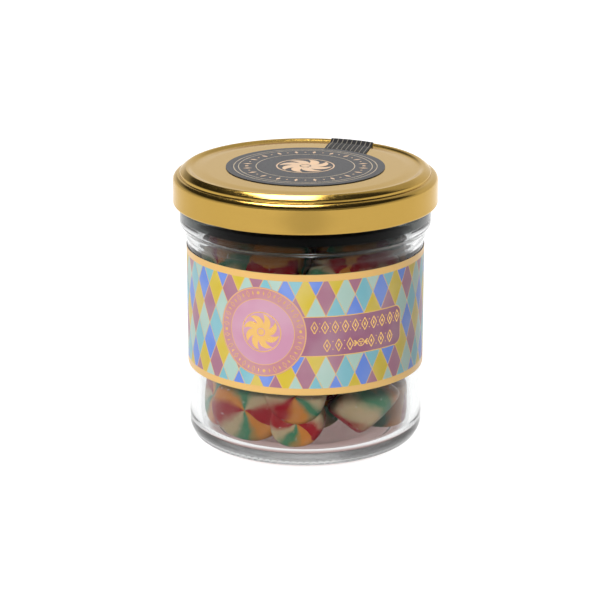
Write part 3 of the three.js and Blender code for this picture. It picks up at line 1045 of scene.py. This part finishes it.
class AddStrip(bpy.types.Operator):
    """Runs the lined paper strip from the round label over the lid to the wrap"""

    bl_idname = "candy_jar.add_strip"
    bl_label = "Seal Strip"

    def execute(self, context):
        jar = context.scene.candy_jar
        p, lid = jar.paper, jar.lid
        path = np.array(strip_path(jar))
        normal = left_of(path)
        skirt_top = lid.top - lid.ledge_drop - lid.edge_round
        begin = p.round_radius + 0.0003
        rows = len(path) + 1

        def place(u, v, side):
            station = np.rint(v * (rows - 1)).astype(int) - 1  # -1 is the row beside the round label
            index = np.maximum(station, 0)
            lift = p.paste + 0.00003 + side * p.sheet
            r = np.where(station < 0, begin, path[index, 0] + normal[index, 0] * lift)
            z = np.where(station < 0, lid.top + lift, path[index, 1] + normal[index, 1] * lift)
            offset = STRIP_NEAR + (STRIP_FAR - STRIP_NEAR) * u
            turn = np.arcsin(offset / r) - STRIP_DRIFT * np.maximum(0, skirt_top - z) / r
            return around(STRIP_HEADING - turn, r, z)

        made, u, v = slab("seal_strip_paper", 19, rows, place, strip_finish(p), sharp=50.0)
        keep_map(made, PRINT_MAP, u, v)
        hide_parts("seal_strip")
        return {"FINISHED"}


# ---- candies ----------------------------------------------------------------

# Candies laid one by one where they show: angle, radius out and height of the middle,
# heading and pitch of the candy's own axis, roll round that axis, and size.
LAID = (
    (-41.5, 0.0198, 0.0133, -25, 2, -42, 1.14),
    (-5, 0.0223, 0.0112, -6, 9, -40, 0.84),
    (-6, 0.0221, 0.0203, 176, 3, -74, 0.98),
    (50, 0.0200, 0.0142, -94, 40, 8, 0.98),
    (82, 0.0206, 0.0110, 80, 86, -33, 1.0),
    (-79, 0.0206, 0.0123, -60, 6, 60, 1.0),
    (-58, 0.0214, 0.0530, -50, 5, 40, 1.0),
    (-20, 0.0198, 0.0528, 70, -9, -137, 1.0),
    (22, 0.0178, 0.0503, 20, 14, 80, 0.8),
    (47, 0.0200, 0.0527, 137, 6, -98, 1.0),
    (86, 0.0214, 0.0545, 78, 8, 110, 1.0),
)
LAID_SPANS = {0: (-95, 105), 1: (-30, 22), 3: (-80, 110)}  # layer, and the angles that its laid candies fill
LAYER_HEIGHTS = (0.0123, 0.0261, 0.0399, 0.0537)
FIRST_ANGLE = 15
LAYER_TURN = 27
RING_COUNT = 7
INNER_COUNT = 2
INNER_RADIUS = 0.0082
FACE_TO_GLASS = 0.0283
FACE_OUT_SHARE = 0.55
FACE_OUT = (24, 24, 0)  # degrees that heading and pitch may vary, and that the heading turns
SIDE_OUT = (150, 100, 90)
HEIGHT_SPREAD = 0.0024
ROLLS = 16
SEED_STEP = 0.618034
WEDGES = 8
WEDGE_BLUR = 0.036
WEDGE_DRIFT = 0.26  # in turns, how far the wedges wander
WEDGE_RIPPLE = 0.07
WEDGE_TWIST = 0.018
OVAL = 0.022
THREE_CORNERED = 0.014
FLUTE_DEPTH = 0.00012
FLUTE_SINK = 0.00008
SLANT = 0.05
DISH = 0.00025
FULLNESS = 0.0001
GLASS_GAP = 0.00012
FLOOR_GAP = 0.00005
SPARE_STEP = 0.00005
SPARE_STEPS = 7
FLOOR_FLAT = 0.0206
FLOOR_RIM = 0.0263
FLOOR_RISE = 0.0005
MILK = (0.90, 0.62, 0.48)
# painted highlights: colour of the near-white specks that stand in for glints on the candies
SPARKLE = (1.0, 0.95, 0.9)
# painted shade: heights between which the candies darken towards the lid
SHADE_FROM = 0.045
SHADE_TO = 0.062
SHADED_SHARE = 0.10
GLOSS = 0.16


def draws(seed):
    """Endless repeatable numbers between 0 and 1."""
    value = seed
    while True:
        value = value * 16807 % 2147483647
        yield value / 2147483647


def heap_places(s):
    """Places of all the candies: layer on layer, a ring against the glass and a few inside it."""
    places = list(LAID)
    draw = draws(s.seed)
    for layer, height in enumerate(LAYER_HEIGHTS):
        low, high = LAID_SPANS.get(layer, (0, 0))
        for i in range(RING_COUNT + INNER_COUNT):
            inside = i >= RING_COUNT
            first, count = (RING_COUNT, INNER_COUNT) if inside else (0, RING_COUNT)
            angle = FIRST_ANGLE + layer * LAYER_TURN + (i - first) * (360 / count)
            face_out = next(draw) < FACE_OUT_SHARE
            swing, tilt, turned = FACE_OUT if face_out else SIDE_OUT
            z = height + HEIGHT_SPREAD * (next(draw) - 0.5)
            heading = angle + swing * (next(draw) - 0.5) + turned
            pitch = tilt * (next(draw) - 0.5)
            size = 0.94 + 0.12 * next(draw)
            out = INNER_RADIUS if inside else FACE_TO_GLASS - (s.span / 2 if face_out else s.radius)
            folded = (angle + 180) % 360 - 180
            if inside or not low < folded < high:
                roll = 360 * (7 * len(places) % ROLLS) / ROLLS
                places.append((angle, out, z, heading, pitch, roll, size))
    return places


def candy_profile(s):
    """Outline of a candy: a dished cut face, a round edge, a faintly full side, and the same below."""
    half, edge = s.span / 2, s.edge
    face = [(s.radius * t, half - DISH + DISH * t * t) for t in (0.0, 0.2, 0.4, 0.6, 0.72)]
    corner = arc(s.radius - edge, half - edge, edge, 84, 4, 9)
    side = [(s.radius + FULLNESS, half * t) for t in (0.5, 0.25, 0.0)]
    upper = face + corner + side
    return upper + [(r, -z) for r, z in upper[-2::-1]]


def candy_shape(s, profile, place, seed):
    """Points of one candy in the jar, with each point's own place in the candy."""
    angle, out, height, heading, pitch, roll, size = place
    turns = full_turn(s.segments)
    r, z = profile[1:-1, 0][:, None], profile[1:-1, 1][:, None]
    first, second = 6.2 * seed, 17.3 * seed
    wobble = 1 + OVAL * np.cos(2 * turns + first) + THREE_CORNERED * np.cos(3 * turns + second)
    flutes = FLUTE_DEPTH * np.abs(np.sin(turns * WEDGES / 2)) - FLUTE_SINK
    radius = r * wobble + flutes * (r / s.radius) ** 4
    slant = SLANT * np.sin(first) * r * np.cos(turns + second)
    rings = np.stack([radius * np.cos(turns), radius * np.sin(turns), z + slant * np.sign(z)], -1)
    ends = [[0, 0, profile[0, 1]], [0, 0, profile[-1, 1]]]
    local = np.vstack([rings.reshape(-1, 3), ends]) * size
    pitch = math.radians(pitch)
    axis = Vector(around(math.radians(heading), math.cos(pitch), math.sin(pitch)))
    upright = Vector((0, 0, 1))
    lean = upright.rotation_difference(axis) @ Quaternion(upright, math.radians(roll))
    turned = local @ np.array(lean.to_matrix()).T
    return turned + around(math.radians(angle), out, height), local / (s.radius * size)


def kept_inside(points, g, spare):
    """Pushes points that pass the glass back in; spare keeps two candies from sharing one face."""
    bore, corner = g.body_radius - g.wall, g.floor_corner
    r = np.hypot(points[:, 0], points[:, 1])
    points[:, :2] *= np.minimum(1, (bore - GLASS_GAP - spare) / np.maximum(r, TINY))[:, None]
    past = np.clip(np.hypot(points[:, 0], points[:, 1]) - (bore - corner), 0, corner)
    heights = (g.floor_crown, g.floor_edge + FLOOR_RISE, g.floor_edge)
    floor = np.interp(r, (0, FLOOR_FLAT, FLOOR_RIM), heights)
    floor += corner - np.sqrt(corner**2 - past**2) + FLOOR_GAP + spare
    points[:, 2] = np.maximum(points[:, 2], floor)
    return points


def wedge_colours(f, s, share):
    """The four colours in turn round the candy, a little blurred where they meet."""
    tones = (s.red, s.cream, s.green, s.orange)
    ramp = f.node("ValToRGB", {0: share})
    stops = ramp.color_ramp.elements
    stops[0].color, stops[1].color = (*tones[0], 1), (*tones[-1], 1)
    for k in range(1, WEDGES):
        for shift, tone in ((-WEDGE_BLUR, tones[(k - 1) % 4]), (WEDGE_BLUR, tones[k % 4])):
            stops.new(k / WEDGES + shift).color = (*tone, 1)
    return ramp.outputs[0]


def candy_finish(s):
    """Boiled sugar: eight wedges in four colours that run through, cloudy inside, glossy outside."""
    f = Finish(
        "boiled_sugar",
        subsurface_weight=0.5,
        subsurface_scale=0.0014,
        subsurface_radius=(1.0, 0.55, 0.4),
        ior=1.5,
    )
    kind = {"attribute_type": "GEOMETRY"}
    local = f.node("Attribute", attribute_name="candy_place", **kind).outputs["Vector"]
    seed = f.node("Attribute", attribute_name="candy_seed", **kind).outputs["Fac"]
    x, y, z = f.split(local)
    own = f.node("CombineXYZ", {"X": f.times(seed, 9.1), "Y": f.times(seed, 15.7), "Z": f.times(seed, 7.3)})
    shifted = f.node("VectorMath", {0: local, 1: own.outputs[0]}, operation="ADD").outputs[0]

    drift = f.times(f.minus(f.noise(0.9, 1.0, shifted), 0.5), WEDGE_DRIFT)
    ripple = f.times(f.minus(f.noise(3.2, 2.0, shifted), 0.5), WEDGE_RIPPLE)
    turn = f.math("DIVIDE", f.math("ARCTAN2", y, x), 2 * math.pi)
    share = f.math("FRACT", f.sum(turn, f.times(z, WEDGE_TWIST), drift, ripple, 1.0))
    cloud = f.scaled(f.noise(2.4, 4.0, local), 0.3, 0.75, 0.0, 0.12)
    milky = f.mix(cloud, wedge_colours(f, s, share), MILK)
    # painted highlights: sparse near-white specks in the base colour
    painted_glints = f.scaled(f.noise(7.0, 3.0, shifted, 0.65), 0.66, 0.72, 0.0, 0.8)

    _, _, height = f.split(f.place())
    # painted shade: candies darken, and lose most of their gloss, from SHADE_FROM up to SHADE_TO under the
    # lid
    shaded = f.scaled(height, SHADE_FROM, SHADE_TO, 1.0, SHADED_SHARE)
    value = f.times(f.scaled(seed, 0.0, 1.0, 0.80, 1.0, "LINEAR"), shaded)
    shade = f.node("HueSaturation", {"Color": f.mix(painted_glints, milky, SPARKLE), "Value": value})
    f.set("Base Color", shade.outputs[0])
    f.set("Specular IOR Level", f.times(shaded, GLOSS))

    scratch = f.noise(5.0, 2.0, local)
    f.set("Roughness", f.scaled(scratch, 0.3, 0.7, 0.05, 0.2, "LINEAR"))
    chips = f.node("TexVoronoi", {"Vector": local, "Scale": 5.0}, feature="F1").outputs["Distance"]
    f.bump(f.sum(f.times(scratch, 0.5), f.times(chips, 0.35)), 0.0004, 0.4)
    return f.material


class AddCandies(bpy.types.Operator):
    """Fills the jar with cut rock candies"""

    bl_idname = "candy_jar.add_candies"
    bl_label = "Rock Candies"

    def execute(self, context):
        jar = context.scene.candy_jar
        s = jar.candy
        profile = np.array(candy_profile(s))
        one = turned_faces(len(profile) - 2, s.segments)
        points, places, seeds, faces = [], [], [], []
        for number, place in enumerate(heap_places(s)):
            seed = (number * SEED_STEP) % 1
            moved, local = candy_shape(s, profile, place, seed)
            points.append(kept_inside(moved, jar.glass, SPARE_STEP * (number % SPARE_STEPS)))
            places.append(local)
            seeds += [seed] * len(moved)
            faces += [tuple(i + number * len(moved) for i in face) for face in one]
        made = piece("rock_candies", np.vstack(points), faces, candy_finish(s), sharp=50.0)
        attributes = made.data.attributes
        kept_place = attributes.new("candy_place", "FLOAT_VECTOR", "POINT")
        kept_place.data.foreach_set("vector", np.vstack(places).astype(np.float32).ravel())
        attributes.new("candy_seed", "FLOAT", "POINT").data.foreach_set("value", seeds)
        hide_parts("candies")
        return {"FINISHED"}


# ---- stage ------------------------------------------------------------------

MATT_ONLY = ("glossy", "transmission")  # kinds of ray that don't meet a light made for matt pieces
SHINY_ONLY = ("diffuse", "transmission")  # and those that don't meet one made for shiny pieces
FLOOR_REACH = 3.0
FLOOR_DROP = 0.0002
FLOOR_MIRRORED = 0.15
FLOOR_REFRACTED = -0.18
UNDER_JAR = (0.0265, 0.0306)  # radii between which the floor's glow turns from painted shade under the jar to white
UNDER_JAR_PAINTED_SHADE = (0.52, 0.35, 0.33)
WHITE = (1.0, 1.0, 1.0)
ROOM_LIGHT = 0.04
BOUNCED_SHARE = 0.03
REFRACTED_SHARE = 0.82


def add_camera(s):
    """A camera at the angle of the view, without shift or blur."""
    data = bpy.data.cameras.new("camera")
    data.lens, data.sensor_width = s.lens, 36.0
    camera = bpy.data.objects.new("camera", data)
    bpy.context.scene.collection.objects.link(camera)
    back = Vector((0, -math.cos(s.elevation), math.sin(s.elevation)))
    camera.location = Vector((s.aim_side, 0, s.aim_height)) + s.distance * back
    camera.rotation_euler = (-back).to_track_quat("-Z", "Y").to_euler()
    bpy.context.scene.camera = camera


def floor_finish(s):
    """A pale floor that glows, with painted shade in a pinkish tone under the jar, and a little dimmer close
    in front of it.
    """
    f = Finish("pale_floor", base_color=(*s.floor, 1.0), roughness=0.9, specular_ior_level=0.1)
    x, y, _ = f.split(f.place())
    beside = f.scaled(f.distance(x, y), *UNDER_JAR)
    # painted shade: under the jar the glow takes a dim pinkish tone, standing in for the candies' shadow and
    # their coloured bounce
    f.set("Emission Color", f.mix(beside, UNDER_JAR_PAINTED_SHADE, WHITE))
    path = f.node("LightPath").outputs
    mirrored = f.times(path["Is Glossy Ray"], FLOOR_MIRRORED)
    refracted = f.times(path["Is Transmission Ray"], FLOOR_REFRACTED)
    # painted shade: the glow is weaker close in front of the jar
    front = f.scaled(y, -0.26, -0.15, 1.0, 0.0)
    middle = f.scaled(f.apart(x, 0.0), 0.04, 0.16, 0.35, 0.0)
    glow = f.minus(f.sum(mirrored, refracted, s.glow), f.times(front, middle))
    f.set("Emission Strength", f.times(f.less(path["Diffuse Depth"], 0.5), glow))
    return f.material


def add_floor(s):
    """The floor, just under the jar."""
    mesh = bpy.data.meshes.new("floor")
    corners = [(x * FLOOR_REACH, y * FLOOR_REACH, 0) for x, y in ((-1, -1), (1, -1), (1, 1), (-1, 1))]
    mesh.from_pydata(corners, [], [(0, 1, 2, 3)])
    mesh.materials.append(floor_finish(s))
    floor = bpy.data.objects.new("floor", mesh)
    floor.location.z = -FLOOR_DROP
    bpy.context.scene.collection.objects.link(floor)


def add_lamp(name, place, aim, width, depth, watts, unseen):
    """An area light; unseen names the kinds of ray that don't meet it."""
    data = bpy.data.lights.new(name, "AREA")
    data.shape, data.size, data.size_y, data.energy = "RECTANGLE", width, depth, watts
    lamp = bpy.data.objects.new(name, data)
    lamp.location = place
    lamp.rotation_euler = (Vector(aim) - Vector(place)).to_track_quat("-Z", "Y").to_euler()
    bpy.context.scene.collection.objects.link(lamp)
    for kind in unseen:
        setattr(lamp, "visible_" + kind, False)


def add_world():
    """A bright horizon beside and behind the jar, a wall above it, a dim band all round, and a dark room."""
    world = bpy.data.worlds.new("studio")
    bpy.context.scene.world = world
    world.use_nodes = True
    n = Nodes(world.node_tree)
    sideways, backward, upward = n.split(n.node("TexCoord").outputs["Generated"])
    horizon = n.times(n.scaled(upward, 0.16, 0.34, 1.0, 0.0), n.scaled(backward, -0.75, -0.35))
    wall = n.times(n.scaled(upward, 0.84, 0.94, 1.0, 0.0), n.scaled(upward, 0.40, 0.60, 1.05, 0.75))
    wall = n.times(wall, n.scaled(backward, 0.30, 0.42), n.scaled(sideways, -0.30, -0.16))
    band = n.times(n.scaled(upward, 0.08, 0.14, 0.0, 0.5), n.scaled(upward, 0.34, 0.44, 1.0, 0.0))
    path = n.node("LightPath").outputs
    bounced = n.scaled(path["Diffuse Depth"], 0.0, 1.0, 1.0, BOUNCED_SHARE)
    refracted = n.scaled(path["Is Transmission Ray"], 0.0, 1.0, 1.0, REFRACTED_SHARE)
    level = n.times(n.either(horizon, wall, band), bounced, refracted)
    background = world.node_tree.nodes["Background"].inputs
    n.put(background["Strength"], n.either(level, ROOM_LIGHT))
    n.put(background["Color"], WHITE)


class AddStage(bpy.types.Operator):
    """Adds the pale floor, the studio light and the camera"""

    bl_idname = "candy_jar.add_stage"
    bl_label = "Stage"

    def execute(self, context):
        s = context.scene.candy_jar.stage
        add_camera(s)
        add_floor(s)
        add_world()
        add_lamp("ceiling", (0.0, 0.0, 2.0), (0.0, 0.0, 0.0), 6.0, 6.0, s.ceiling, MATT_ONLY)
        add_lamp("key", (-0.45, -1.15, 0.62), (0.0, 0.0, 0.04), 0.26, 0.26, s.key, MATT_ONLY)
        add_lamp("fill", (0.45, 1.10, 0.60), (0.0, 0.0, 0.04), 0.26, 0.26, s.fill, MATT_ONLY)
        add_lamp("softbox", (-0.10, 0.06, 0.70), (-0.10, 0.06, 0.0), 0.30, 0.44, s.softbox, SHINY_ONLY)
        context.scene.view_settings.view_transform = "Standard"
        return {"FINISHED"}


# ---- panel and registration -------------------------------------------------


class CandyJarPanel(bpy.types.Panel):
    """Buttons that add the jar's pieces and the stage"""

    bl_idname = "VIEW3D_PT_candy_jar"
    bl_label = "Jar of Rock Candies"
    bl_space_type = "VIEW_3D"
    bl_region_type = "UI"
    bl_category = "Candy Jar"

    def draw(self, context):
        column = self.layout.column(align=True)
        for operator in OPERATORS:
            column.operator(operator.bl_idname)


GROUPS = (GlassSettings, LidSettings, PaperSettings, CandySettings, StageSettings, JarSettings)
OPERATORS = (AddGlass, AddLid, AddWrap, AddRoundLabel, AddStrip, AddCandies, AddStage)


def register():
    for item in (*GROUPS, *OPERATORS, CandyJarPanel):
        bpy.utils.register_class(item)
    bpy.types.Scene.candy_jar = PointerProperty(type=JarSettings)


def unregister():
    del bpy.types.Scene.candy_jar
    for item in reversed((*GROUPS, *OPERATORS, CandyJarPanel)):
        bpy.utils.unregister_class(item)


def main():
    """Makes every piece in order."""
    register()
    for operator in OPERATORS:
        category, name = operator.bl_idname.split(".")
        getattr(getattr(bpy.ops, category), name)()


if __name__ == "__main__":
    main()
